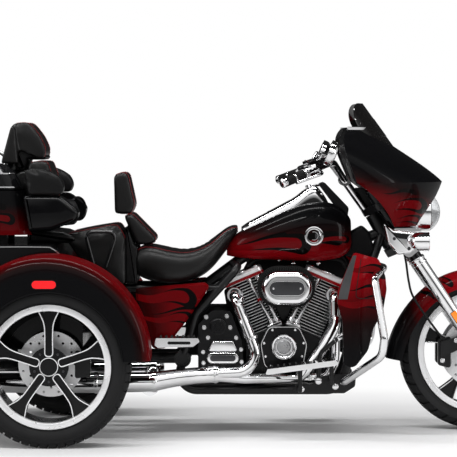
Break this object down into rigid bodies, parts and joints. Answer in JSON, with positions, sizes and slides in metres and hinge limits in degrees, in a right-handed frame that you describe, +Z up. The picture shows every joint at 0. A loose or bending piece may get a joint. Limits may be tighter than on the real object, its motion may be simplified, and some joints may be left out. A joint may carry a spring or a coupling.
{
  "type": "motorized trike",
  "caption": "Motorized touring trike with a raked steering fork, V-twin engine, saddle and pillion, hinged trunk and top box, and arched fenders over its rear wheels.",
  "frame": {"origin": "on the floor, midway along the overall length, on the centre plane", "axes": "+X forward along the longest extent, +Y to the rider's left, +Z up"},
  "size_m": [2.634, 1.39, 1.337],
  "materials": {
    "gloss_black": "gloss black paint",
    "candy_red": "candy red paint fading to black",
    "satin_black": "satin black",
    "chrome": "polished",
    "engine_black": "black with polished fin edges",
    "steel": "ground",
    "wheel_black": "gloss black, machined edges",
    "tyre": "matt",
    "seat": "grained",
    "black_plastic": "matt",
    "rubber": "matt",
    "smoke": "smoked",
    "lens": "clear",
    "red_lens": "gloss",
    "red_band": "gloss"
  },
  "bodies": {
    "chassis": {"frame": "satin_black", "rear_axle": "satin_black", "crankcase": "engine_black", "gearbox": "engine_black", "cylinders": "engine_black", "rocker_bases": "red_band", "rocker_covers": "chrome", "pushrod_tubes": "chrome", "cam_cover": "engine_black", "air_cleaner": "chrome", "primary_cover": "engine_black", "exhaust": "chrome", "fuel_tank": "candy_red", "tank_console": "chrome", "dash_apron": "black_plastic", "rider_seat": "seat", "pillion_seat": "seat", "rider_backrest": "seat", "grab_rails": "satin_black", "trunk": "gloss_black", "rear_fenders": "candy_red", "red_lamps": "red_lens", "top_box": "gloss_black", "box_carrier": "satin_black", "passenger_backrest": "seat", "armrests": "black_plastic", "side_covers": "candy_red", "lower_fairings": "candy_red", "engine_guard": "chrome", "footboards": "satin_black", "foot_controls": "chrome"},
    "trunk_door": {"trunk_door": "gloss_black"},
    "top_box_lid": {"top_box_lid": "gloss_black", "luggage_rack": "chrome", "headrest": "seat"},
    "fork": {"triple_clamps": "satin_black", "fork_tubes": "gloss_black", "fork_sliders": "chrome", "front_axle": "satin_black", "front_fender": "candy_red", "fairing": "candy_red", "inner_fairing": "black_plastic", "windshield": "smoke", "headlamps": "lens", "fork_nacelle": "chrome", "handlebar": "chrome", "grips": "rubber", "hand_controls": "chrome", "mirrors": "chrome"},
    "front_wheel": {"front_tyre": "tyre", "front_rim": "wheel_black", "front_discs": "steel"},
    "rear_wheel_right": {"rear_tyre_right": "tyre", "rear_rim_right": "wheel_black", "rear_disc_right": "steel"},
    "rear_wheel_left": {"rear_tyre_left": "tyre", "rear_rim_left": "wheel_black", "rear_disc_left": "steel"}
  },
  "joints": [
    {"name": "steering", "type": "hinge", "parent": "chassis", "child": "fork", "pos_m": [0.6, 0, 0.82], "axis": [-0.5, 0, 0.866], "range_deg": [-30, 30]},
    {"name": "front_wheel_spin", "type": "hinge", "parent": "fork", "child": "front_wheel", "pos_m": [0.995, 0, 0.322], "axis": [0, 1, 0], "continuous": true},
    {"name": "rear_wheel_right_spin", "type": "hinge", "parent": "chassis", "child": "rear_wheel_right", "pos_m": [-0.721, -0.56, 0.315], "axis": [0, 1, 0], "continuous": true},
    {"name": "rear_wheel_left_spin", "type": "hinge", "parent": "chassis", "child": "rear_wheel_left", "pos_m": [-0.721, 0.56, 0.315], "axis": [0, 1, 0], "continuous": true},
    {"name": "top_box_lid_hinge", "type": "hinge", "parent": "chassis", "child": "top_box_lid", "pos_m": [-1.072, 0.293, 0.989], "axis": [-1, 0, 0], "range_deg": [0, 75]},
    {"name": "trunk_door_hinge", "type": "hinge", "parent": "chassis", "child": "trunk_door", "pos_m": [-1.307, 0, 0.374], "axis": [0, -1, 0], "range_deg": [0, 80]}
  ]
}
